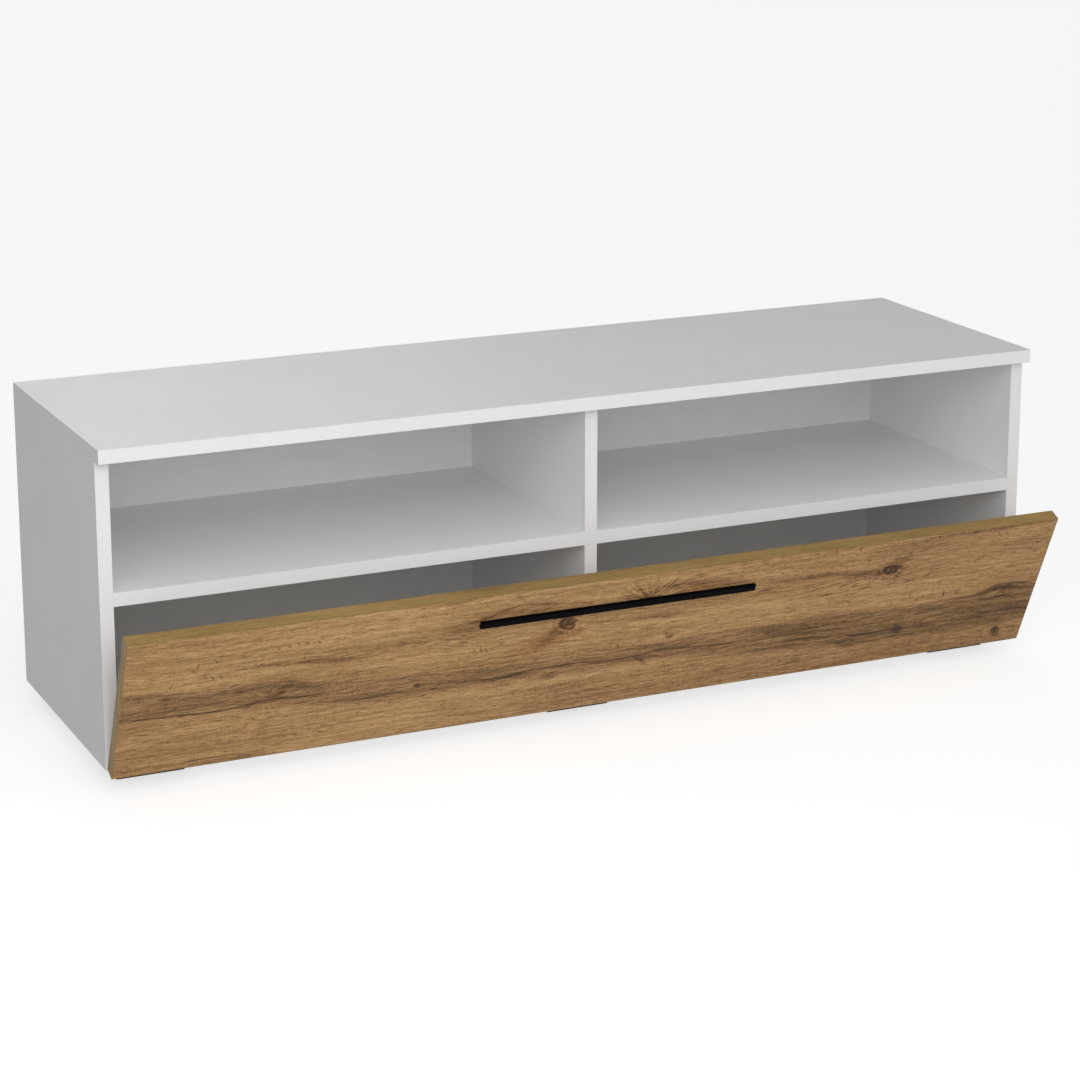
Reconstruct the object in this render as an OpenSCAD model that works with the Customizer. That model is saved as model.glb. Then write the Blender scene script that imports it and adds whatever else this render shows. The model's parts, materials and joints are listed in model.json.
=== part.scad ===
// Low television stand: two open bays over two compartments that one
// full-width flap closes. The flap is hinged along its bottom edge and
// swings down and forward.
//
// X runs along the width, -Y is the front, +Z is up. The origin is on the
// floor, in the middle of the footprint with the flap at flap_tilt.

/* [Cabinet] */
// Overall width
body_w = 1350; // [1000:10:1800]
// Depth of the top board
top_depth = 400; // [300:10:520]
// Overall height, floor to top face
body_h = 450; // [400:10:620]
// Thickness of every board of the cabinet
board_t = 18; // [15:1:22]
// Clear height of the compartments behind the flap
compartment_h = 195; // [140:5:230]
// Thickness of the back panel
back_t = 3; // [2.5:0.5:5]
// Width of the rebate that holds the back panel
rebate_w = 9; // [6:1:11]

/* [Flap] */
// Thickness of the flap with both faces
flap_t = 18; // [15:1:22]
// How far the flap stands open, 0 closed and 90 flat
flap_tilt = 24; // [0:1:90]
// Gap between the closed flap and the cabinet's front edges
flap_gap = 1; // [0.8:0.1:2]
// How far each end of the flap stops short of the side's outer face
flap_end_gap = 2; // [0:0.5:6]
// Thickness of the edge band on the flap's four edges
band_t = 1; // [0.5:0.1:2]

/* [Handle] */
// Length of the handle bar
handle_l = 400; // [240:10:700]
// Height of the handle bar's face
handle_h = 10; // [9:1:20]
// How far the bar stands off the flap's face
handle_d = 5; // [5:0.5:10]
// Distance from the flap's top edge to the middle of the bar
handle_drop = 46; // [20:1:100]
// Distance between the handle's two screws
handle_pitch = 320; // [160:32:640]

/* [Feet] */
// Height of each foot
foot_h = 30; // [28:1:60]
// Width of each foot
foot_w = 90; // [60:5:140]
// Depth of each foot, front to back
foot_d = 50; // [30:5:80]
// Distance from the side's outer face to the outer feet
foot_inset = 25; // [20:1:80]
// Distance from the sides' front edges, and from the rear, to the feet
foot_setback = 40; // [36:1:80]

/* [Hinges] */
// Length of each hinge
leaf_l = 60; // [45:1:90]
// Thickness of the hinge leaves
leaf_t = 1.5; // [1.2:0.1:2]
// Reach of each leaf from the hinge pin
leaf_reach = 24; // [20:1:32]
// Radius of the hinge pin
pin_r = 1.4; // [1.2:0.1:1.6]
// Distance from the side's outer face to the middle of an outer hinge
hinge_inset = 150; // [100:5:260]

/* [Hidden] */
$fn = 32;
over = 1;        // how far a cut runs past the face it opens
seat_gap = 0.05; // clearance of a fastener or dowel in its hole
pin_gap = 0.05;  // running clearance of the pin in the knuckles
panel_gap = 0.5; // clearance around the back panel in its rebates
third = [-1, 0, 1];
ends = [-1, 1];

// Hinge, measured from the middle of the pin
knuckle_r = pin_r + 1.3;
knuckle_gap = 0.3;                 // end play between two knuckles
hinge_out = knuckle_r + 0.8;       // pin in front of the cabinet's front edges
hinge_up = 2;                      // pin above the cabinet's underside
knuckle_l = leaf_l / 3;
notch_r = hinge_up + leaf_t + 0.5; // room for the knuckles in the flap's corner
notch_l = leaf_l + 4;
leaf_start = knuckle_r + 0.5;      // where a leaf passes the other leaf's knuckle
pin_head_r = pin_r + 0.8;
pin_head_t = 0.8;

// Cabinet
carcass_h = body_h - foot_h;
side_h = carcass_h - board_t;
front_overhang = flap_t + flap_gap;
side_depth = top_depth - front_overhang;
inner_depth = side_depth - back_t;
inner_w = body_w - 2 * board_t;
inner_x = inner_w / 2;
shelf_z = foot_h + board_t + compartment_h;
shelf_top = shelf_z + board_t;
under_top = body_h - board_t;
bay_h = under_top - shelf_top;

// Flap, measured from the middle of the pin
flap_w = body_w - 2 * flap_end_gap;
flap_h = board_t + compartment_h + board_t / 2;
flap_back = hinge_out - flap_gap;
flap_front = flap_back - flap_t;
flap_low = -hinge_up;
flap_high = flap_h - hinge_up;

// Where the parts stand, so that the origin is under the middle of the whole
flap_reach = hinge_out - flap_front * cos(flap_tilt) + flap_high * sin(flap_tilt);
front_reach = max(front_overhang, flap_reach);
rear_y = (side_depth + front_reach) / 2;
front_y = rear_y - side_depth;
hinge_y = front_y - hinge_out;
hinge_z = foot_h + hinge_up;
hinge_x = body_w / 2 - hinge_inset;
foot_x = body_w / 2 - foot_inset - foot_w / 2;
foot_front_y = front_y + foot_setback + foot_d / 2;
foot_rear_y = rear_y - foot_setback - foot_d / 2;

// Dowels, cams and bolts
dowel_r = 4;
dowel_l = 30;
dowel_in_face = 12;  // depth of a dowel in the face of a board
dowel_spare = 1;     // room past the dowel in the edge of a board
dowel_inset = 32;    // dowel rows from the front and rear edges
dowel_step = 32;     // second dowel rows from the first ones
cam_r = 7.5;
cam_depth = 12.5;
cam_setback = 34;    // middle of a cam from the end of its board
cam_margin = 3;      // a cam clears the feet by this much
bolt_r = 3;
bolt_thread_r = 2.5;
bolt_in_face = 11;
bolt_in_cam = 5;     // how far the bolt's end reaches into the cam
cam_inset = foot_setback + foot_d + cam_margin + cam_r;
cam_rows = [front_y + cam_inset, rear_y - cam_inset];
dowel_rows = [front_y + dowel_inset, rear_y - back_t - dowel_inset];
inner_dowel_rows = [dowel_rows[0] + dowel_step, dowel_rows[1] - dowel_step];

// Screws and nails
foot_screw_r = 2;
foot_screw_head_r = 4;
foot_screw_head_t = 2.5;
foot_screw_bite = 14;   // how far a foot screw goes into the bottom board
foot_web = 12;          // plastic between a screw head and the bottom board
foot_bore_r = 5;
foot_screw_x = foot_w / 4;
leaf_screw_r = 1.75;
leaf_screw_head_r = 3.2;
leaf_screw_l = 13;
leaf_screw_x = leaf_l / 3;
leaf_screw_from_pin = (leaf_start + leaf_reach) / 2;
handle_screw_r = 2;
handle_screw_head_r = 4;
handle_screw_head_t = 2.2;
handle_screw_bite = handle_d - 1;
handle_hole_r = 2.3;
handle_edge = 0.6;      // chamfer on the bar's front edges
nail_r = 0.8;
nail_l = 18;
nail_head_r = 1.8;
nail_head_t = 0.6;
nail_margin = 50;
nail_columns = 7;
nail_step = (inner_w - 2 * nail_margin) / (nail_columns - 1);

module white() { color("#e8e8e6") children(); }
module oak() { color("#a57f52") children(); }
module band() { color("#8c7444") children(); }
module black() { color("#141414") children(); }
module steel() { color("#b9bcc0") children(); }
module birch() { color("#d8b98a") children(); }

// A board given by its lower front left corner
module board(at, size) {
    translate(at) cube(size);
}

// A box centred on X
module centred_box(length, y, depth, z, height) {
    translate([-length / 2, y, z]) cube([length, depth, height]);
}

// A round pin along +X, +Y or +Z from the origin
module rod_x(radius, length) {
    rotate([0, 90, 0]) cylinder(r = radius, h = length);
}
module rod_y(radius, length) {
    rotate([-90, 0, 0]) cylinder(r = radius, h = length);
}
module rod_z(radius, length) {
    cylinder(r = radius, h = length);
}

// ---- dowels, cams and bolts ----

// Upright dowels: every joint between an upright board and a level one
module upright_spots() {
    for (y = dowel_rows) {
        for (side = ends) translate([side * (inner_x + board_t / 2), y, under_top]) children();
        translate([0, y, under_top]) children();
        translate([0, y, shelf_z]) children();
    }
}
module upright_spots_down() {
    for (y = inner_dowel_rows) {
        translate([0, y, shelf_top]) children();
        translate([0, y, foot_h + board_t]) children();
    }
}
module upright_dowel(radius, spare) {
    translate([0, 0, dowel_in_face - dowel_l - spare]) rod_z(radius, dowel_l + spare);
}
module upright_dowel_set(radius, spare) {
    upright_spots() upright_dowel(radius, spare);
    upright_spots_down() mirror([0, 0, 1]) upright_dowel(radius, spare);
}

// Level dowels and bolts: both ends of the shelf and of the bottom board
module end_spots(rows) {
    for (side = ends, y = rows, z = [foot_h, shelf_z]) {
        translate([side * inner_x, y, z + board_t / 2]) scale([side, 1, 1]) children();
    }
}
module level_dowel_set(radius, spare) {
    end_spots(dowel_rows) {
        translate([dowel_in_face - dowel_l - spare, 0, 0]) rod_x(radius, dowel_l + spare);
    }
}
module cam_bolt_set(gap) {
    shank = cam_setback - bolt_in_cam;
    end_spots(cam_rows) {
        translate([-shank, 0, 0]) rod_x(bolt_r + gap, shank);
        rod_x(bolt_thread_r + gap, bolt_in_face + gap);
    }
}
module cam_set(radius) {
    end_spots(cam_rows) {
        translate([-cam_setback, 0, -board_t / 2]) rod_z(radius, cam_depth);
    }
}
module joint_holes() {
    upright_dowel_set(dowel_r + seat_gap, dowel_spare);
    level_dowel_set(dowel_r + seat_gap, dowel_spare);
    cam_bolt_set(seat_gap);
    cam_set(cam_r + seat_gap);
}

// ---- screws and nails ----

module foot_spots() {
    for (column = third, y = [foot_front_y, foot_rear_y]) {
        translate([column * foot_x, y, 0]) children();
    }
}
module foot_screw(gap) {
    for (side = ends) {
        translate([side * foot_screw_x, 0, foot_h - foot_web - gap]) {
            rod_z(foot_screw_r + gap, foot_web + foot_screw_bite + 2 * gap);
        }
    }
}
module foot_screw_heads() {
    for (side = ends) {
        translate([side * foot_screw_x, 0, foot_h - foot_web - foot_screw_head_t]) {
            rod_z(foot_screw_head_r, foot_screw_head_t);
        }
    }
}

// A countersunk screw from the origin along +Z, its head face at z = 0
module countersunk(gap) {
    cylinder(r1 = leaf_screw_head_r + gap, r2 = leaf_screw_r + gap, h = leaf_t);
    rod_z(leaf_screw_r + gap, leaf_screw_l + gap);
}
module base_leaf_screw_pair(gap) {
    for (side = ends) {
        translate([side * leaf_screw_x, leaf_screw_from_pin, -hinge_up - leaf_t]) countersunk(gap);
    }
}
module flap_leaf_screw_pair(gap) {
    for (side = ends) {
        translate([side * leaf_screw_x, flap_back, leaf_screw_from_pin]) {
            rotate([90, 0, 0]) countersunk(gap);
        }
    }
}

module nail_spots() {
    for (i = [0 : nail_columns - 1]) {
        x = -inner_x + nail_margin + i * nail_step;
        for (z = [foot_h + board_t / 2, shelf_z + board_t / 2, under_top + rebate_w / 2]) {
            translate([x, rear_y, z]) children();
        }
    }
    for (side = ends, z = [shelf_z - compartment_h / 2, shelf_top + bay_h / 2]) {
        translate([side * (inner_x + rebate_w / 2), rear_y, z]) children();
    }
}
module nail(gap) {
    translate([0, -nail_l - gap, 0]) rod_y(nail_r + gap, nail_l + gap);
    translate([0, -nail_head_t, 0]) rod_y(nail_head_r + gap, nail_head_t);
}

// ---- cabinet ----

module back_rebate() {
    half = inner_x + rebate_w;
    low = foot_h - over;
    high = under_top + rebate_w;
    board([-half, rear_y - back_t, low], [2 * half, back_t + over, high - low]);
}

module top_board() {
    white() difference() {
        board([-body_w / 2, rear_y - top_depth, under_top], [body_w, top_depth, board_t]);
        back_rebate();
        joint_holes();
        nail_spots() nail(seat_gap);
    }
}

module side_board(x) {
    white() difference() {
        board([x, front_y, foot_h], [board_t, side_depth, side_h]);
        back_rebate();
        joint_holes();
        nail_spots() nail(seat_gap);
    }
}
module left_side() { side_board(-body_w / 2); }
module right_side() { side_board(inner_x); }

module level_board(z) {
    white() difference() {
        board([-inner_x, front_y, z], [inner_w, inner_depth, board_t]);
        joint_holes();
        nail_spots() nail(seat_gap);
        foot_spots() foot_screw(seat_gap);
        for (place = third) hinge_place(place) base_leaf_screw_pair(seat_gap);
    }
}
module bottom_board() { level_board(foot_h); }
module shelf() { level_board(shelf_z); }

module divider(z, height) {
    white() difference() {
        board([-board_t / 2, front_y, z], [board_t, inner_depth, height]);
        joint_holes();
    }
}
module upper_divider() { divider(shelf_top, bay_h); }
module lower_divider() { divider(foot_h + board_t, compartment_h); }

module back_panel() {
    half = inner_x + rebate_w - panel_gap;
    high = under_top + rebate_w - panel_gap;
    white() difference() {
        board([-half, rear_y - back_t, foot_h], [2 * half, back_t, high - foot_h]);
        nail_spots() nail(seat_gap);
    }
}

module back_nails() { steel() nail_spots() nail(0); }
module upright_dowels() { birch() upright_dowel_set(dowel_r, 0); }
module level_dowels() { birch() level_dowel_set(dowel_r, 0); }
module cam_bolts() { steel() cam_bolt_set(0); }
module cam_housings() {
    steel() difference() {
        cam_set(cam_r);
        cam_bolt_set(seat_gap);
    }
}

// ---- feet ----

module foot(column, y) {
    black() translate([column * foot_x, y, 0]) difference() {
        translate([-foot_w / 2, -foot_d / 2, 0]) cube([foot_w, foot_d, foot_h]);
        foot_screw(seat_gap);
        for (side = ends) {
            translate([side * foot_screw_x, 0, -over]) rod_z(foot_bore_r, foot_h - foot_web + over);
        }
    }
}
module foot_front_left() { foot(-1, foot_front_y); }
module foot_front_centre() { foot(0, foot_front_y); }
module foot_front_right() { foot(1, foot_front_y); }
module foot_rear_left() { foot(-1, foot_rear_y); }
module foot_rear_centre() { foot(0, foot_rear_y); }
module foot_rear_right() { foot(1, foot_rear_y); }
module foot_screws() {
    steel() foot_spots() {
        foot_screw(0);
        foot_screw_heads();
    }
}

// ---- flap ----

// Places a piece that moves with the flap
module on_flap() {
    translate([0, hinge_y, hinge_z]) rotate([flap_tilt, 0, 0]) children();
}
// Places a piece that stays with the cabinet at one hinge
module hinge_place(place) {
    translate([place * hinge_x, hinge_y, hinge_z]) children();
}

// Room for the knuckles along the flap's lower back corner
module hinge_notches() {
    for (place = third) translate([place * hinge_x, 0, 0]) {
        centred_box(notch_l, -notch_r, flap_back + notch_r + over, flap_low - over,
            notch_r - flap_low + over);
    }
}
// Recesses that let the flap leaves in flush with the flap's back
module leaf_recesses() {
    for (place = third) translate([place * hinge_x, 0, 0]) {
        centred_box(leaf_l + 2 * seat_gap, flap_back - leaf_t, leaf_t + over, 0,
            leaf_reach + seat_gap);
        flap_leaf_screw_pair(seat_gap);
    }
}
module handle_screw_spots() {
    for (side = ends) {
        translate([side * handle_pitch / 2, flap_back, flap_high - handle_drop]) children();
    }
}

module flap_panel() {
    oak() on_flap() difference() {
        centred_box(flap_w - 2 * band_t, flap_front, flap_t, flap_low + band_t,
            flap_h - 2 * band_t);
        hinge_notches();
        leaf_recesses();
        handle_screw_spots() {
            translate([0, -flap_t - over, 0]) rod_y(handle_hole_r, flap_t + 2 * over);
        }
    }
}
module flap_top_band() {
    band() on_flap() centred_box(flap_w, flap_front, flap_t, flap_high - band_t, band_t);
}
module flap_bottom_band() {
    band() on_flap() difference() {
        centred_box(flap_w, flap_front, flap_t, flap_low, band_t);
        hinge_notches();
    }
}
module flap_end_band(side) {
    band() on_flap() translate([side * (flap_w - band_t) / 2, 0, 0]) {
        centred_box(band_t, flap_front, flap_t, flap_low + band_t, flap_h - 2 * band_t);
    }
}
module flap_left_band() { flap_end_band(-1); }
module flap_right_band() { flap_end_band(1); }

// ---- handle ----

// Section of the bar, with its back on the flap's face
module handle_section() {
    polygon([
        [0, -handle_h / 2],
        [0, handle_h / 2],
        [-handle_d + handle_edge, handle_h / 2],
        [-handle_d, handle_h / 2 - handle_edge],
        [-handle_d, -handle_h / 2 + handle_edge],
        [-handle_d + handle_edge, -handle_h / 2]
    ]);
}
module handle_bar() {
    black() on_flap() difference() {
        translate([-handle_l / 2, flap_front, flap_high - handle_drop]) {
            rotate([90, 0, 90]) linear_extrude(handle_l) handle_section();
        }
        handle_screw_spots() {
            translate([0, -flap_t - handle_screw_bite - seat_gap, 0]) {
                rod_y(handle_screw_r + seat_gap, handle_screw_bite + seat_gap + over);
            }
        }
    }
}
module handle_screws() {
    length = flap_t + handle_screw_bite;
    steel() on_flap() handle_screw_spots() {
        translate([0, -length, 0]) rod_y(handle_screw_r, length);
        rod_y(handle_screw_head_r, handle_screw_head_t);
    }
}

// ---- hinges ----

module knuckle(x, length) {
    translate([x, 0, 0]) rod_x(knuckle_r, length);
}
module pin_bore() {
    translate([-leaf_l / 2 - over, 0, 0]) rod_x(pin_r + pin_gap, leaf_l + 2 * over);
}

// The leaf under the bottom board, with the two outer knuckles
module base_leaf(place) {
    window = knuckle_l + 2 * knuckle_gap;
    steel() hinge_place(place) difference() {
        union() {
            knuckle(-leaf_l / 2, knuckle_l);
            knuckle(leaf_l / 2 - knuckle_l, knuckle_l);
            centred_box(leaf_l, -1, leaf_reach + 1, -hinge_up - leaf_t, leaf_t);
        }
        centred_box(window, -knuckle_r - over, knuckle_r + over + leaf_start, -2 * knuckle_r,
            4 * knuckle_r);
        pin_bore();
        base_leaf_screw_pair(seat_gap);
    }
}
module base_leaf_left() { base_leaf(-1); }
module base_leaf_centre() { base_leaf(0); }
module base_leaf_right() { base_leaf(1); }

// The leaf in the flap's back, with the middle knuckle
module flap_leaf(place) {
    length = knuckle_l - 2 * knuckle_gap;
    steel() on_flap() translate([place * hinge_x, 0, 0]) difference() {
        union() {
            knuckle(-length / 2, length);
            centred_box(length, flap_back - leaf_t, leaf_t, 0, leaf_reach);
            centred_box(leaf_l, flap_back - leaf_t, leaf_t, notch_r, leaf_reach - notch_r);
        }
        pin_bore();
        flap_leaf_screw_pair(seat_gap);
    }
}
module flap_leaf_left() { flap_leaf(-1); }
module flap_leaf_centre() { flap_leaf(0); }
module flap_leaf_right() { flap_leaf(1); }

// The pin, with a riveted head past each end of the knuckles
module hinge_pin(place) {
    steel() hinge_place(place) {
        translate([-leaf_l / 2 - seat_gap, 0, 0]) rod_x(pin_r, leaf_l + 2 * seat_gap);
        for (side = ends) scale([side, 1, 1]) {
            translate([leaf_l / 2 + seat_gap, 0, 0]) rod_x(pin_head_r, pin_head_t);
        }
    }
}
module hinge_pin_left() { hinge_pin(-1); }
module hinge_pin_centre() { hinge_pin(0); }
module hinge_pin_right() { hinge_pin(1); }

module base_leaf_screws() {
    steel() for (place = third) hinge_place(place) base_leaf_screw_pair(0);
}
module flap_leaf_screws() {
    steel() on_flap() for (place = third) {
        translate([place * hinge_x, 0, 0]) flap_leaf_screw_pair(0);
    }
}

top_board();
left_side();
right_side();
bottom_board();
shelf();
upper_divider();
lower_divider();
back_panel();
back_nails();
upright_dowels();
level_dowels();
cam_housings();
cam_bolts();
foot_front_left();
foot_front_centre();
foot_front_right();
foot_rear_left();
foot_rear_centre();
foot_rear_right();
foot_screws();
flap_panel();
flap_top_band();
flap_bottom_band();
flap_left_band();
flap_right_band();
handle_bar();
handle_screws();
base_leaf_left();
base_leaf_centre();
base_leaf_right();
flap_leaf_left();
flap_leaf_centre();
flap_leaf_right();
hinge_pin_left();
hinge_pin_centre();
hinge_pin_right();
base_leaf_screws();
flap_leaf_screws();
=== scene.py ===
"""A low white television stand with one knotty oak flap, finished and lit around its CAD frame.

Lengths are metres in the frame. The oak is drawn in millimetres on the flap's own face.
"""

import json
import math

import bmesh
import bpy
from mathutils import Euler, Matrix, Vector


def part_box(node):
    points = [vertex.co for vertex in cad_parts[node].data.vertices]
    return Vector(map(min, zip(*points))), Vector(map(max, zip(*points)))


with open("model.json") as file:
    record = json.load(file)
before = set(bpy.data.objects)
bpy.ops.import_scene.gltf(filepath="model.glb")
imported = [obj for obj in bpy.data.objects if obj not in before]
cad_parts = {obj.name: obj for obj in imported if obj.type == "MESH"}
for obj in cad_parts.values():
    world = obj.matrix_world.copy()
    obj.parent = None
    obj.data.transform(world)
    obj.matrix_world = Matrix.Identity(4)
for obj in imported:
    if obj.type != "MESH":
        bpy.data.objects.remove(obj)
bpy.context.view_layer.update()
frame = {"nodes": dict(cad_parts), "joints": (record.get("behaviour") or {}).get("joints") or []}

MM = 1000.0


def paint(red, green, blue):
    """A screen colour, 0 to 255 each, as the linear colour that a shader wants."""
    linear = []
    for part in (red, green, blue):
        level = part / 255
        linear.append(level / 12.92 if level <= 0.04045 else ((level + 0.055) / 1.055) ** 2.4)
    return (*linear, 1.0)


# ---------------------------------------------------------------- node trees


class Wire:
    """One output of a finish's nodes. Arithmetic on it adds Math nodes."""

    def __init__(self, finish, socket):
        self.finish = finish
        self.socket = socket

    def maths(self, operation, first, second=0.0):
        return self.finish.node("Math", {"operation": operation}, {0: first, 1: second})

    def __add__(self, other):
        return self.maths("ADD", self, other)

    __radd__ = __add__

    def __sub__(self, other):
        return self.maths("SUBTRACT", self, other)

    def __rsub__(self, other):
        return self.maths("SUBTRACT", other, self)

    def __mul__(self, other):
        return self.maths("MULTIPLY", self, other)

    __rmul__ = __mul__

    def __truediv__(self, other):
        return self.maths("DIVIDE", self, other)

    def __abs__(self):
        return self.maths("ABSOLUTE", self)

    def wave(self):
        """A sine of the value."""
        return self.maths("SINE", self)

    def at_most(self, other):
        return self.maths("MINIMUM", self, other)


class Finish:
    """One material, or a world, with the few calls that build its nodes."""

    def __init__(self, name, kind="materials"):
        self.material = getattr(bpy.data, kind).new(name)
        self.material.use_nodes = True
        self.tree = self.material.node_tree
        self.tree.nodes.clear()

    def node(self, kind, settings=None, values=None, out=0):
        """Adds a node: its settings first, then the values or links of its sockets."""
        made = self.tree.nodes.new("ShaderNode" + kind)
        for name, value in (settings or {}).items():
            if name == "stops":
                lay_stops(made.color_ramp, value)
            elif name == "points":
                lay_points(made.mapping, value)
            elif name == "fitted":
                fit(made.texture_mapping, *value)
            else:
                setattr(made, name, value)
        for key, value in (values or {}).items():
            if isinstance(value, Wire):
                self.tree.links.new(value.socket, made.inputs[key])
            else:
                made.inputs[key].default_value = value
        return Wire(self, made.outputs[out]) if len(made.outputs) else made

    def place(self):
        """Where a point lies in the frame at rest, in millimetres."""
        spot = self.node("TexCoord", out="Object")
        return self.node("Mapping", {}, {"Vector": spot, "Scale": (MM, MM, MM)})

    def split(self, vector):
        """The three parts of a vector."""
        parts = self.node("SeparateXYZ", {}, {0: vector}).socket.node
        return [Wire(self, socket) for socket in parts.outputs]

    def noise(self, place, grain, detail=2.0, roughness=0.5, seed=0.0, flat=False):
        """A smooth random value about 0.5, in lumps of the given sizes along x, y and z."""
        lie = ("POINT", (seed, seed, seed), 0.0, [1 / length for length in grain])
        return self.node(
            "TexNoise",
            {"noise_dimensions": "2D" if flat else "3D", "fitted": lie},
            {"Vector": place, "Scale": 1.0, "Detail": detail, "Roughness": roughness},
        )

    def ease(self, value, low, high, start=0.0, end=1.0):
        """Turns low..high smoothly into start..end, and holds the ends."""
        return self.node(
            "MapRange",
            {"interpolation_type": "SMOOTHSTEP"},
            {"Value": value, "From Min": low, "From Max": high, "To Min": start, "To Max": end},
        )

    def spot(self, place, centre, size, turn=0.0):
        """1 at the middle of an oval, falling evenly to 0 at its rim."""
        oval = ("TEXTURE", (*centre, 0.0), math.radians(turn), (*size, 1.0))
        return self.node(
            "TexGradient", {"gradient_type": "SPHERICAL", "fitted": oval}, {"Vector": place}, out="Fac"
        )

    def patch(self, place, centre, size, turn=0.0):
        """1 at the middle of an oval, easing to 0 at its rim."""
        return self.ease(self.spot(place, centre, size, turn), 0.0, 1.0)

    def blend(self, amount, under, over, how="MIX"):
        """Lays one colour over another."""
        return self.node(
            "Mix",
            {"data_type": "RGBA", "blend_type": how},
            {0: amount, 6: under, 7: over},
            out=2,
        )

    def relief(self, height, depth, rounding=0.0):
        """Surface relief of the given depth in metres, with edges softened by the rounding."""
        values = {"Height": height, "Distance": depth, "Strength": 1.0}
        if rounding:
            values["Normal"] = self.node("Bevel", {"samples": 4}, {"Radius": rounding})
        return self.node("Bump", {}, values)

    def done(self, **values):
        """Closes the finish with one Principled shader."""
        sockets = {}
        for name, value in values.items():
            sockets[name.replace("_", " ").title().replace("Ior", "IOR")] = value
        shader = self.node("BsdfPrincipled", {}, sockets)
        self.node("OutputMaterial", {}, {"Surface": shader})
        return self.material


def lay_stops(ramp, stops):
    """Sets a colour ramp's stops, each a place and a colour."""
    while len(ramp.elements) > 1:
        ramp.elements.remove(ramp.elements[-1])
    for number, (position, colour) in enumerate(stops):
        element = ramp.elements[0] if number == 0 else ramp.elements.new(position)
        element.position = position
        element.color = colour


def fit(mapping, kind, place, turn, size):
    """Sets how a texture lies: where, how far turned and how large."""
    mapping.vector_type = kind
    mapping.translation = place
    mapping.rotation = (0.0, 0.0, turn)
    mapping.scale = size


def lay_points(mapping, points):
    """Draws a curve through points whose two parts run from 0 to 1."""
    curve = mapping.curves[0]
    for number, point in enumerate(points):
        if number < 2:
            curve.points[number].location = point
        else:
            curve.points.new(*point)
    mapping.update()


# ---------------------------------------------------------------- the flap's oak

hinge = frame["joints"][0]
flap_tilt = math.radians(-hinge["range_deg"][0])
lower_edge = 2.0
flap_rise = 222.0

# How strongly each thing darkens the wood.
plain_shade = 0.33
cloud_share = 0.34
streak_share = 0.58
fibre_share = 0.76
speckle_share = 0.40
sawn_share = 0.32
pore_share = 0.22
paler_upward = 0.0003
heart_share = 0.15
ray_share = 3.3
core_share = 0.30
crumb_share = 1.5
rim_share = 0.34
ring_share = 0.17
halo_share = 0.16
shake_halo_share = 0.20
stroke_share = 0.40

# Lighter and darker clouds: along, up, half length, half height, turn, strength (minus is lighter).
clouds = [
    (-330, 192, 150, 26, 0, -0.09),
    (-550, 144, 160, 9, 0, -0.10),
    (-250, 127, 210, 16, -3, -0.12),
    (400, 118, 190, 20, 0, -0.08),
    (-110, 56, 240, 7, 0, -0.15),
    (-350, 163, 85, 5, -3, 0.10),
    (-222, 171, 46, 20, 0, 0.20),
    (-455, 154, 125, 4.5, -5, 0.20),
    (-405, 150, 66, 6, -6, 0.26),
    (-130, 187, 92, 13, 0, 0.22),
    (-88, 141, 34, 13, 48, 0.24),
    (-112, 126, 56, 16, 14, 0.14),
    (-28, 152, 48, 5, -5, 0.22),
    (45, 184, 74, 24, 0, 0.26),
    (44, 180, 34, 12, 0, 0.26),
    (130, 189, 96, 12, -5, 0.28),
    (105, 207, 34, 4, 8, 0.22),
    (72, 145, 74, 6, -2, 0.24),
    (14, 130, 20, 24, 0, 0.08),
    (268, 177, 100, 7, 0, 0.26),
    (340, 176, 80, 6, -8, 0.16),
    (376, 167, 48, 8, -3, 0.30),
    (222, 166, 24, 3, 10, 0.28),
    (425, 181, 24, 10, 22, 0.30),
    (625, 106, 62, 10, -4, 0.17),
    (612, 97, 40, 8, 0, -0.16),
    (614, 88, 40, 3, 2, 0.28),
    (597, 59, 20, 5, 0, 0.26),
    (652, 61, 48, 12, 0, 0.26),
    (302, 27, 10, 20, 0, 0.12),
    (456, 53, 13, 15, -12, 0.26),
    (500, 55, 18, 5, 0, 0.22),
    (366, 44, 38, 5, -20, 0.18),
    (395, 40, 30, 2.5, 0, 0.22),
    (-468, 106, 30, 10, 34, 0.24),
    (-446, 115, 46, 9, -6, 0.20),
    (-560, 9, 100, 5, 0, 0.20),
    (-520, 3, 80, 5, 0, 0.26),
    (-616, 124, 12, 4, 0, 0.24),
    (-519, 120, 10, 4, 0, 0.30),
    (-86, 64, 22, 6, 10, 0.24),
    (-60, 44, 80, 9, 0, 0.10),
    (54, 68, 20, 4, -40, 0.28),
    (250, 88, 90, 14, -8, 0.14),
    (300, 74, 110, 9, -6, 0.12),
    (250, 58, 100, 10, 0, 0.10),
    (480, 215, 150, 4, 2, 0.16),
    (590, 219, 120, 4, 0, 0.20),
    (-250, 219, 60, 5, 0, 0.22),
    (480, 24, 360, 30, 0, 0.12),
    (120, 34, 260, 22, 0, 0.08),
    (560, 70, 220, 26, 0, 0.02),
    (400, 205, 380, 40, 0, 0.07),
]

# Knots: along, up, half length, half height, turn, how dark, how far the grain bows round them.
knots = [
    (-71, 155, 12, 9, -30, 0.80, 34),
    (416, 168, 12, 8, -25, 0.85, 28),
    (629, 22, 5.5, 8, 20, 0.50, 24),
    (86, 109, 4.5, 6, 10, 0.46, 20),
    (-271, 83, 5, 3.5, 0, 0.36, 14),
    (616, 97, 36, 11, 0, 0.26, 26),
]

# Places where the grain parts and closes again without a knot: along, up, half length, half height.
bows = [
    (-464, 110, 80, 24),
    (42, 184, 90, 34),
    (616, 96, 66, 18),
    (-130, 188, 110, 16),
    (205, 64, 80, 18),
]

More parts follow.
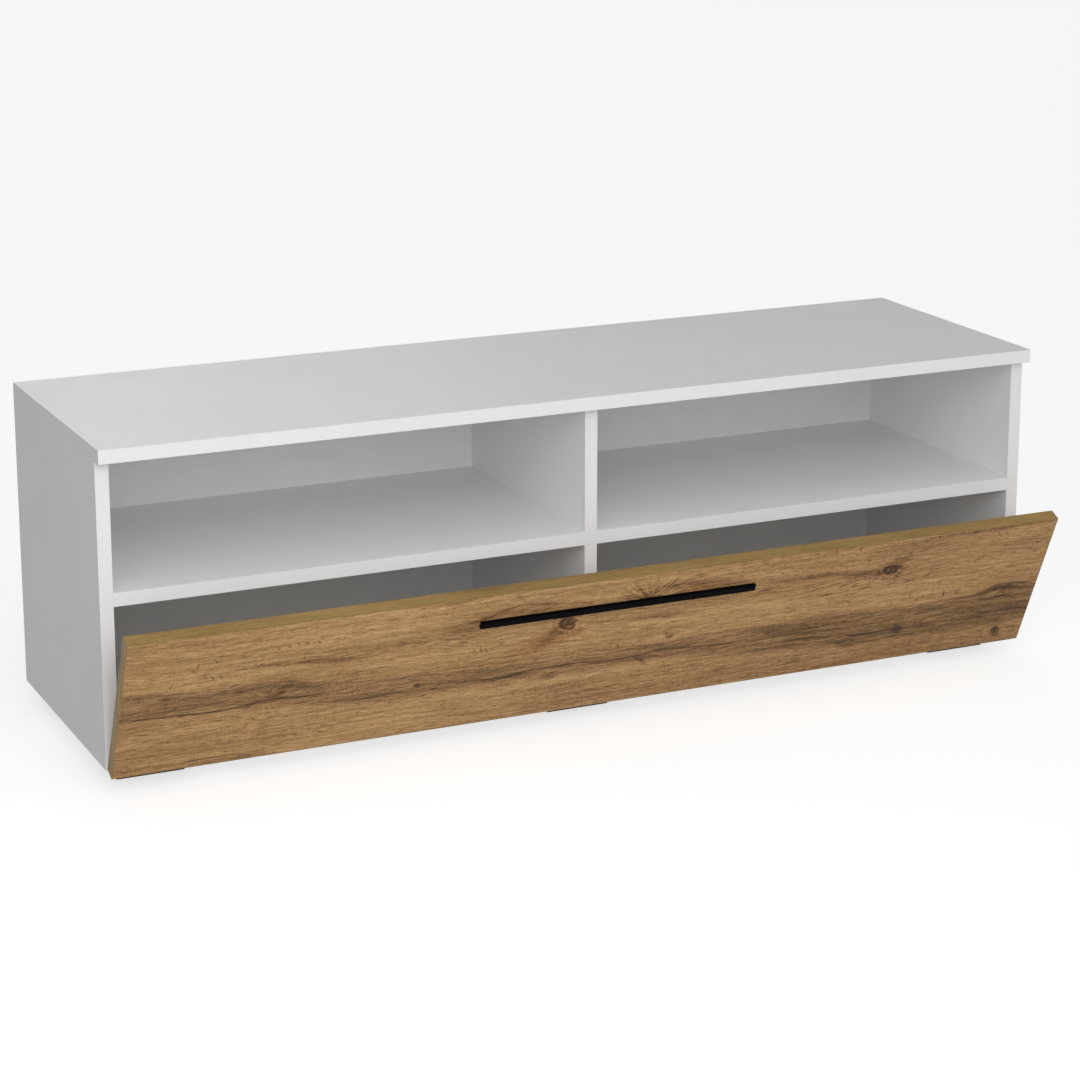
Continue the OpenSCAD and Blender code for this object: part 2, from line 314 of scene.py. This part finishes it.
# Fans of short curved fibres: along, up, half width, half height, strength.
fans = [
    (44, 176, 80, 52, 0.52),
    (-482, 97, 70, 34, 0.20),
    (-71, 155, 60, 44, 0.20),
    (416, 168, 56, 40, 0.20),
]

# Long shakes in the wood: width, darkness and the line's points, along and up.
shakes = [
    (
        1.9,
        0.40,
        [(-760, 99), (-673, 97), (-610, 94), (-540, 91), (-510, 94), (-480, 97), (-404, 94), (-380, 93)],
    ),
    (
        1.4,
        0.26,
        [(-400, 79), (-340, 75), (-310, 77), (-270, 75), (-235, 79), (-185, 77), (-125, 76), (-90, 79)],
    ),
    (1.6, 0.32, [(-170, 76), (-60, 82), (0, 79), (44, 79), (77, 84), (120, 80), (150, 78), (215, 76)]),
    (1.8, 0.36, [(262, 63), (300, 64), (335, 61), (365, 58), (404, 56), (440, 55), (485, 55)]),
    (
        2.6,
        0.20,
        [(-225, 179), (-200, 183), (-170, 193), (-146, 199), (-110, 196), (-60, 189), (-30, 185)],
    ),
    (2.0, 0.10, [(570, 96), (596, 107), (622, 113), (650, 110), (676, 103), (730, 94)]),
    (1.1, 0.20, [(-300, 106), (-240, 104), (-180, 103), (-100, 100), (-40, 98), (60, 98)]),
    (1.0, 0.18, [(-673, 134), (-600, 131), (-560, 130), (-520, 127), (-480, 127)]),
]

# Short strokes left by tools and pores: along, up, length, turn.
strokes = [
    (-460, 184, 9, -50), (-448, 186, 9, -55), (-436, 185, 8, -50), (-420, 184, 9, -45),
    (-474, 183, 7, -40), (-566, 152, 12, -65), (-556, 148, 10, -60), (-545, 147, 9, -55),
    (-610, 144, 9, 70), (-578, 172, 10, 80), (-554, 175, 8, -40), (-190, 130, 10, -60),
    (-184, 129, 10, -55), (-200, 131, 8, -60), (-212, 30, 9, 50), (-386, 187, 10, 60),
    (-434, 30, 10, -25), (-398, 27, 12, -20), (-495, 69, 12, -40), (-636, 68, 16, -4),
    (380, 142, 14, 10), (423, 143, 13, 22), (449, 143, 11, 20), (459, 145, 7, 15),
    (480, 150, 16, 24), (322, 140, 22, 4), (348, 153, 16, 18), (302, 152, 20, 16),
    (346, 121, 14, 14), (360, 121, 12, -16), (517, 112, 12, -75), (461, 116, 10, -70),
    (434, 106, 8, 80), (440, 196, 12, 20), (462, 198, 14, 22), (565, 170, 12, 45),
    (556, 165, 11, 45), (580, 208, 12, -50), (594, 206, 11, -50), (90, 102, 8, 60),
    (12, 102, 10, -65), (306, 86, 18, -35), (480, 217, 8, -75), (318, 216, 9, -80),
    (356, 214, 12, -75),
]


def drawn_line(finish, along, points):
    """How far up the flap a drawn line lies at each place along it."""
    first = points[0][0]
    length = points[-1][0] - first
    curve = [((x - first) / length, y / flap_rise) for x, y in points]
    curve = [curve[0], curve[-1], *curve[1:-1]]
    share = (along - first) / length
    return share, finish.node("FloatCurve", {"points": curve}, {"Value": share}) * flap_rise


def oak_face():
    """Knotty oak print, wavy along the flap, with a grey heart, shakes, knots and tool marks."""
    oak = Finish("knotty_oak")
    turn_back = Euler((-flap_tilt, 0.0, 0.0))
    pin = turn_back.to_matrix() @ Vector(hinge["pos_m"]) * -MM
    spot = oak.node("TexCoord", out="Object")
    foot = pin + Vector((0, 0, lower_edge))
    square = oak.node(
        "Mapping", {}, {"Vector": spot, "Location": foot, "Rotation": turn_back, "Scale": (MM, MM, MM)}
    )
    along, _, up = oak.split(square)
    sheet = oak.node("CombineXYZ", {}, {"X": along, "Y": up})

    slow = oak.noise(sheet, (210, 46, 1), 2.0, 0.5, 3.1, flat=True) - 0.5
    quick = oak.noise(sheet, (46, 15, 1), 2.0, 0.55, 8.7, flat=True) - 0.5
    shaky_up = up + slow * 7 + quick * 3.0
    shaky = oak.node("CombineXYZ", {}, {"X": along + quick * 16, "Y": shaky_up})

    # The grain's height on the board, parted round knots and eyes.
    level = up + slow * 20 + quick * 3.5
    for x, y, long, tall in bows:
        level = level + oak.patch(shaky, (x, y), (long, tall)) * (y - up) * 0.55
    for x, y, long, tall, turn, dark, bow in knots:
        level = level + oak.patch(shaky, (x, y), (bow * 1.7, bow)) * (y - up) * 0.75

    grain_sheet = oak.node("CombineXYZ", {}, {"X": along, "Y": level})
    clouded = oak.noise(grain_sheet, (420, 26, 1), 2.0, 0.5, 1.3, flat=True) - 0.5
    streaks = oak.noise(grain_sheet, (130, 5.0, 1), 3.0, 0.62, 5.9, flat=True) - 0.5
    fibres = oak.noise(grain_sheet, (22, 1.9, 1), 2.0, 0.7, 2.2, flat=True) - 0.5
    pores = oak.noise(grain_sheet, (11, 1.5, 1), 1.0, 0.5, 7.4, flat=True)
    sawn = oak.noise(sheet, (2.8, 12, 1), 2.0, 0.6, 4.4, flat=True) - 0.5
    sawn_where = oak.ease(oak.noise(sheet, (90, 60, 1), 1.0, 0.5, 9.9, flat=True), 0.48, 0.66)
    speckle = oak.noise(sheet, (2.4, 1.8, 1), 1.0, 0.5, 6.6, flat=True) - 0.5
    pore_marks = oak.ease(pores, 0.60, 0.74)

    shade = clouded * cloud_share + streaks * streak_share + fibres * fibre_share
    shade = shade + speckle * speckle_share + plain_shade
    shade = shade + sawn * sawn_where * sawn_share + pore_marks * pore_share
    shade = shade + (flap_rise / 2 - up) * paler_upward

    # The grey heart runs the whole length between two drawn edges.
    upper_points = [
        (-673, 138), (-600, 134), (-520, 128), (-470, 130), (-430, 122), (-380, 111), (-300, 105),
        (-200, 99), (-100, 96), (0, 95), (100, 98), (200, 100), (300, 101), (400, 98), (560, 102),
        (620, 112), (673, 104),
    ]
    lower_points = [
        (-673, 98), (-540, 92), (-480, 90), (-430, 80), (-370, 72), (-300, 67), (-200, 72),
        (-100, 70), (0, 67), (80, 66), (160, 57), (250, 50), (330, 46), (400, 40), (500, 36),
        (600, 34), (673, 40),
    ]
    heart_top = drawn_line(oak, along, upper_points)[1]
    heart_foot = drawn_line(oak, along, lower_points)[1]
    heart = oak.ease(heart_top - shaky_up, -1.0, 3.0) * oak.ease(shaky_up - heart_foot, -7.0, 7.0)
    shade = shade + heart * (streaks * 0.14 + heart_share) + oak.ease(along, -150, 700) * 0.02

    for x, y, long, tall, turn, strength in clouds:
        shade = shade + oak.patch(shaky, (x, y), (long * 1.15, tall * 1.35), turn) * strength

    for x, y, wide, tall, strength in fans:
        rise, run = (shaky_up - y) / tall, (along - x) / wide
        angle = oak.node("Math", {"operation": "ARCTAN2"}, {0: rise, 1: run})
        nearness = oak.spot(shaky, (x, y), (wide, tall))
        spread = oak.node("CombineXYZ", {}, {"X": angle * 8 + quick * 2, "Y": nearness * 1.8})
        rays = oak.noise(spread, (1, 1, 1), 2.0, 0.6, 9.3, flat=True) - 0.5
        above = oak.ease(up, y - 8, y + 4) if strength > 0.5 else 1.0
        shade = shade + rays * oak.ease(nearness, 0.0, 0.65) * above * (strength * ray_share)

    halo = 3.0
    crumbs = oak.noise(sheet, (5, 3.4, 1), 2.0, 0.6, 12.3, flat=True) - 0.5
    rust = oak.patch(shaky, (-100, 128), (64, 24), 14) * 0.8
    rust = rust + oak.patch(shaky, (130, 190), (90, 30)) * 0.35
    for x, y, long, tall, turn, dark, bow in knots:
        near = oak.spot(shaky, (x, y), (long * halo, tall * halo), turn)
        away = halo - near * halo
        rings = (away * 7.5 + quick * 14).wave()
        away = away + quick * 1.3 + speckle * 0.8
        rim = oak.ease(abs(away - 0.85), 0.45, 0.05)
        core = oak.ease(away, 1.2, 0.6) * (crumbs * crumb_share + core_share)
        shade = shade + core * dark + rim * (rim_share * dark)
        shade = shade + rings * oak.ease(away, 2.9, 0.9) * (ring_share * dark)
        shade = shade + oak.ease(away, 2.6, 0.8) * (halo_share * dark)
        rust = rust + oak.ease(away, 3.0, 0.8) * (0.5 * dark)

    cracks = None
    for width, dark, points in shakes:
        share, line = drawn_line(oak, along, points)
        middle = share * 2 - 1
        fade = 1 - middle * middle
        thick = oak.ease(fade, 0.0, 0.5, 0.25, 1.0) * (quick * 3.0 + 1.0) * width
        mark = oak.ease(abs(up + quick * 6 - line) / thick, 1.0, 0.15) * oak.ease(fade, 0.0, 0.25)
        cracks = mark * dark if cracks is None else cracks + mark * dark
        beside = oak.ease(abs(shaky_up - line), 7.0, 0.0) * oak.ease(fade, 0.0, 0.4)
        shade = shade + beside * (dark * shake_halo_share)
    for x, y, length, turn in strokes:
        cracks = cracks + oak.spot(sheet, (x, y), (length * 0.7, 2.0), turn) * stroke_share
    shade = shade + cracks

    colour = oak.node(
        "ValToRGB",
        {
            "stops": [
                (0.00, paint(220, 179, 129)),
                (0.22, paint(195, 154, 105)),
                (0.42, paint(171, 131, 86)),
                (0.62, paint(137, 102, 65)),
                (0.82, paint(104, 77, 49)),
                (1.00, paint(72, 52, 34)),
            ]
        },
        {"Fac": shade},
    )
    colour = oak.blend(heart * 0.5, colour, paint(228, 232, 240), "MULTIPLY")
    colour = oak.blend(rust.at_most(1.0) * 0.55, colour, paint(236, 196, 170), "MULTIPLY")
    height = (fibres * 0.6 + streaks * 0.4) - pore_marks * 0.5 - cracks * 1.4
    return oak.done(
        base_color=colour,
        roughness=oak.ease(shade, 0.1, 0.9, 0.50, 0.64),
        specular_ior_level=0.22,
        normal=oak.relief(height, 0.00022, 0.0006),
    )


# ---------------------------------------------------------------- the other finishes


def oak_band():
    """Thin plastic oak edging, greener and more even than the face, with fine streaks along it."""
    band = Finish("oak_edging")
    place = band.place()
    streaks = band.noise(place, (60, 1.3, 60), 3.0, 0.6, 2.0) - 0.5
    flecks = band.noise(place, (9, 0.8, 9), 2.0, 0.6, 5.0) - 0.5
    clouds_along = band.noise(place, (170, 30, 170), 2.0, 0.5, 7.0) - 0.5
    shade = streaks * 0.9 + flecks * 0.7 + clouds_along * 0.7 + 0.45
    colour = band.node(
        "ValToRGB",
        {
            "stops": [
                (0.0, paint(182, 151, 94)),
                (0.45, paint(151, 122, 71)),
                (0.8, paint(112, 88, 49)),
                (1.0, paint(78, 59, 32)),
            ]
        },
        {"Fac": shade},
    )
    return band.done(
        base_color=colour,
        roughness=band.ease(flecks, -0.3, 0.3, 0.46, 0.60),
        specular_ior_level=0.35,
        normal=band.relief(streaks + flecks, 0.00012, 0.0004),
    )


def seam(finish, line_y, low, high):
    """The hairline where a board's front edging meets its face, between two heights."""
    _, y, z = finish.split(finish.place())
    line = finish.ease(abs(y - line_y), 0.30, 0.05)
    return line * finish.ease(z, low - 0.2, low) * finish.ease(z, high + 0.2, high)


edging = 1.0


def laminate():
    """White melamine board: faint mottle, a fine pearl relief and a hairline behind the front edging."""
    white = Finish("white_melamine")
    place = white.place()
    mottle = white.noise(place, (70, 70, 70), 3.0, 0.5, 1.0) - 0.5
    speckle = white.noise(place, (1.6, 1.6, 1.6), 2.0, 0.6, 4.0) - 0.5
    fibre = white.noise(place, (14, 2.2, 2.2), 2.0, 0.6, 6.0) - 0.5
    shade = mottle * 0.30 + speckle * 0.46 + fibre * 0.22 + 0.5
    top_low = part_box("top_board")[0] * MM
    side_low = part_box("left_side")[0] * MM
    top_joint = seam(white, top_low.y + edging, top_low.z, top_low.z + 40)
    joint = top_joint + seam(white, side_low.y + edging, -5, top_low.z)
    tint = white.node(
        "ValToRGB",
        {
            "stops": [
                (0.0, paint(233, 233, 233)),
                (0.5, paint(241, 241, 241)),
                (1.0, paint(247, 247, 246)),
            ]
        },
        {"Fac": shade},
    )
    colour = white.blend(joint * 0.5, tint, paint(190, 190, 188), "MULTIPLY")
    return white.done(
        base_color=colour,
        roughness=white.ease(speckle + mottle, -0.4, 0.4, 0.46, 0.60),
        specular_ior_level=0.4,
        normal=white.relief(speckle + fibre * 0.5 - joint, 0.00006, 0.0007),
    )


def hardboard():
    """White-lacquered thin hardboard, a little softer and rougher than the boards."""
    sheet = Finish("white_hardboard")
    place = sheet.place()
    mottle = sheet.noise(place, (45, 45, 45), 3.0, 0.5, 2.0) - 0.5
    mesh = sheet.noise(place, (2.4, 2.4, 2.4), 2.0, 0.6, 3.0) - 0.5
    tint = sheet.node(
        "ValToRGB",
        {"stops": [(0.2, paint(232, 232, 231)), (0.8, paint(242, 242, 241))]},
        {"Fac": mottle * 0.5 + mesh * 0.5 + 0.5},
    )
    return sheet.done(
        base_color=tint,
        roughness=sheet.ease(mesh, -0.3, 0.3, 0.50, 0.66),
        specular_ior_level=0.35,
        normal=sheet.relief(mesh + mottle * 0.4, 0.00012),
    )


def powder_coat():
    """Black powder-coated metal: a dull skin with a fine orange peel."""
    coat = Finish("black_powder_coat")
    place = coat.place()
    peel = coat.noise(place, (0.9, 0.9, 0.9), 2.0, 0.6, 2.0) - 0.5
    cloud = coat.noise(place, (30, 8, 8), 2.0, 0.5, 5.0) - 0.5
    tint = coat.node(
        "ValToRGB",
        {"stops": [(0.2, paint(3, 3, 4)), (0.8, paint(8, 8, 9))]},
        {"Fac": peel * 0.8 + cloud * 0.5 + 0.5},
    )
    return coat.done(
        base_color=tint,
        roughness=coat.ease(peel + cloud, -0.4, 0.4, 0.30, 0.46),
        specular_ior_level=0.025,
        normal=coat.relief(peel, 0.00005, 0.0005),
    )


def moulded_plastic():
    """Matt black moulded plastic with a spark-eroded grain."""
    moulded = Finish("black_moulding")
    place = moulded.place()
    grain = moulded.noise(place, (0.7, 0.7, 0.7), 2.0, 0.6, 2.0) - 0.5
    scuff = moulded.noise(place, (12, 12, 5), 3.0, 0.6, 7.0) - 0.5
    tint = moulded.node(
        "ValToRGB",
        {"stops": [(0.2, paint(12, 12, 13)), (0.8, paint(23, 23, 24))]},
        {"Fac": grain * 0.6 + scuff * 0.7 + 0.5},
    )
    return moulded.done(
        base_color=tint,
        roughness=moulded.ease(scuff, -0.3, 0.3, 0.50, 0.70),
        specular_ior_level=0.12,
        normal=moulded.relief(grain, 0.00008, 0.0006),
    )


def zinc():
    """Bright zinc plate on steel, faintly blue and yellow in clouds."""
    plate = Finish("zinc_plate")
    place = plate.place()
    cloud = plate.noise(place, (9, 9, 9), 3.0, 0.5, 2.0)
    scratch = plate.noise(place, (8, 0.6, 0.9), 2.0, 0.6, 5.0) - 0.5
    tint = plate.node(
        "ValToRGB",
        {
            "stops": [
                (0.3, paint(176, 180, 188)),
                (0.55, paint(192, 192, 190)),
                (0.75, paint(200, 192, 170)),
            ]
        },
        {"Fac": cloud},
    )
    return plate.done(
        base_color=tint,
        metallic=1.0,
        roughness=plate.ease(scratch, -0.3, 0.3, 0.26, 0.44),
        normal=plate.relief(scratch, 0.00003, 0.0002),
    )


def beech():
    """Steamed beech with its short brown flecks."""
    wood = Finish("beech_wood")
    place = wood.place()
    grain = wood.noise(place, (3, 3, 12), 3.0, 0.6, 2.0) - 0.5
    flecks = wood.ease(wood.noise(place, (0.5, 0.5, 2.4), 1.0, 0.5, 6.0), 0.6, 0.72)
    tint = wood.node(
        "ValToRGB",
        {
            "stops": [
                (0.2, paint(222, 186, 146)),
                (0.7, paint(200, 158, 116)),
                (1.0, paint(160, 116, 78)),
            ]
        },
        {"Fac": grain + flecks * 0.4 + 0.4},
    )
    return wood.done(
        base_color=tint,
        roughness=wood.ease(grain, -0.3, 0.3, 0.56, 0.70),
        specular_ior_level=0.3,
        normal=wood.relief(grain - flecks, 0.00008),
    )


finishes = {
    "white_laminate": laminate(),
    "white_hardboard": hardboard(),
    "oak_decor": oak_face(),
    "oak_edge_band": oak_band(),
    "black_metal": powder_coat(),
    "black_plastic": moulded_plastic(),
    "zinc_steel": zinc(),
    "beech": beech(),
}
for node in frame["nodes"].values():
    for slot in node.material_slots:
        slot.material = finishes[slot.material.name.split(".")[0]]


# ---------------------------------------------------------------- floor, light and camera

floor_half = 30.0
floor_cells = 24
floor_glow = 0.64
light_above = 0.215
light_ahead = 0.46
horizon_blur = 0.15
sun_breadth = 30.0
film_width = 36.0
sight_end = 200.0
plain_white = (1.0, 1.0, 1.0, 1.0)
stand_middle = (0.0, 0.0, 0.25)


def studio_floor():
    """A wide pale floor under the stand."""
    shape = bmesh.new()
    bmesh.ops.create_grid(shape, x_segments=floor_cells, y_segments=floor_cells, size=floor_half)
    mesh = bpy.data.meshes.new("studio_floor")
    shape.to_mesh(mesh)
    shape.free()
    floor = bpy.data.objects.new("studio_floor", mesh)
    bpy.context.scene.collection.objects.link(floor)
    paper = Finish("studio_paper")
    place = paper.place()
    fine = paper.noise(place, (3, 3, 3), 2.0, 0.5, 1.0) - 0.5
    tint = paper.node(
        "ValToRGB",
        {"stops": [(0.0, paint(190, 190, 190)), (1.0, paint(196, 196, 196))]},
        {"Fac": fine + 0.5},
    )
    mesh.materials.append(
        paper.done(
            base_color=tint,
            roughness=0.9,
            specular_ior_level=0.1,
            emission_color=plain_white,
            emission_strength=floor_glow,
        )
    )
    floor.visible_diffuse = False


def softbox(name, place, aim, size, watts):
    """A square soft light at a place, facing another."""
    lamp = bpy.data.lights.new(name, "AREA")
    lamp.shape = "SQUARE"
    lamp.size = size
    lamp.energy = watts
    holder = bpy.data.objects.new(name, lamp)
    holder.location = place
    holder.rotation_euler = (Vector(aim) - Vector(place)).to_track_quat("-Z", "Y").to_euler()
    bpy.context.scene.collection.objects.link(holder)


def far_sun(name, direction, strength):
    """A broad, weak and even light from one side."""
    lamp = bpy.data.lights.new(name, "SUN")
    lamp.angle = math.radians(sun_breadth)
    lamp.energy = strength
    holder = bpy.data.objects.new(name, lamp)
    holder.rotation_euler = Vector(direction).to_track_quat("Z", "Y").to_euler()
    bpy.context.scene.collection.objects.link(holder)


def studio_air():
    """Soft pale light from above and from ahead of the stand."""
    air = Finish("studio_air", "worlds")
    _, y, z = air.split(air.node("TexCoord", out="Generated"))
    above = air.ease(z, -horizon_blur, horizon_blur) * light_above
    ahead = air.ease(y, horizon_blur, -horizon_blur) * light_ahead
    glow = air.node("Background", {}, {"Color": plain_white, "Strength": above + ahead})
    air.node("OutputWorld", {}, {"Surface": glow})
    bpy.context.scene.world = air.material


def viewpoint(place, yaw, pitch, lens, rise):
    """The camera, turned right by yaw and down by pitch, with its lens raised by rise."""
    eye = bpy.data.cameras.new("viewpoint")
    eye.sensor_width = film_width
    eye.lens = lens
    eye.shift_y = rise
    eye.clip_end = sight_end
    holder = bpy.data.objects.new("viewpoint", eye)
    turned = Matrix.Rotation(math.radians(-yaw), 4, "Z")
    tipped = Matrix.Rotation(math.radians(90.0 - pitch), 4, "X")
    holder.matrix_world = Matrix.Translation(place) @ turned @ tipped
    bpy.context.scene.collection.objects.link(holder)
    bpy.context.scene.camera = holder


studio_floor()
studio_air()
softbox("key_light", (-0.8, -2.9, 1.5), stand_middle, size=1.6, watts=25.0)
softbox("near_light", (-1.3, -1.5, 1.3), (-0.3, 0.0, 0.3), size=1.2, watts=5.0)
far_sun("right_fill", direction=(1.0, -0.1, 0.3), strength=0.35)
far_sun("back_fill", direction=(0.15, 1.0, 0.05), strength=0.90)
viewpoint((-1.6117, -3.4775, 1.3382), yaw=24.71, pitch=14.23, lens=96.6, rise=-0.1)
bpy.context.scene.view_settings.view_transform = "Standard"
